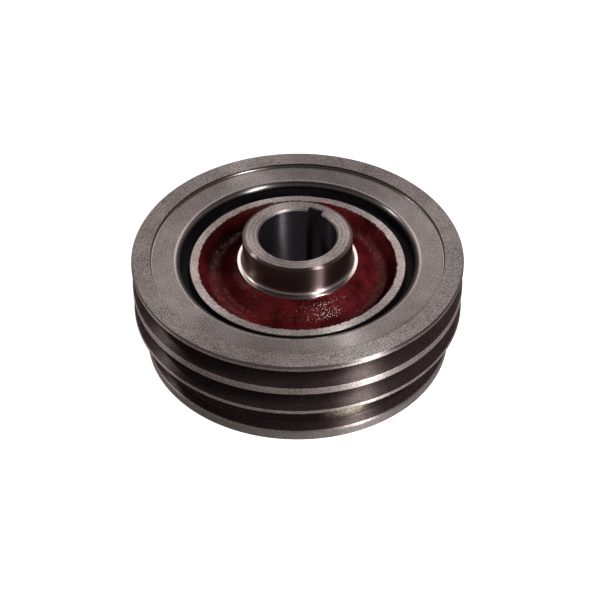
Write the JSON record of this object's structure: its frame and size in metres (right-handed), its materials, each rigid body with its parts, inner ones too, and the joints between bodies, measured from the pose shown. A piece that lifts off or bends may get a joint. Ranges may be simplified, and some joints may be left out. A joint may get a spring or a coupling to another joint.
{
  "type": "crankshaft pulley",
  "caption": "Engine crankshaft pulley: a grooved cast-iron rim bonded by a rubber ring to a painted hub casting, with a keyed bore and a polished boss for an oil seal.",
  "frame": {"origin": "centre of the rim's lower face, on the bore's axis, where the pulley rests", "axes": "+Z along the bore's axis towards the boss that enters the timing cover; the keyway is 65 degrees from +X towards +Y"},
  "size_m": [0.19, 0.19, 0.0755],
  "materials": {
    "machined_iron": "turned grey iron, oiled, with fine tool marks",
    "black_rubber": "moulded, matt",
    "hub_casting": "burgundy paint on the cast web, machined ring and boss face, polished seal surface"
  },
  "bodies": {
    "root": {"pulley_rim": "machined_iron", "rubber_ring": "black_rubber", "hub": "hub_casting"}
  },
  "joints": []
}
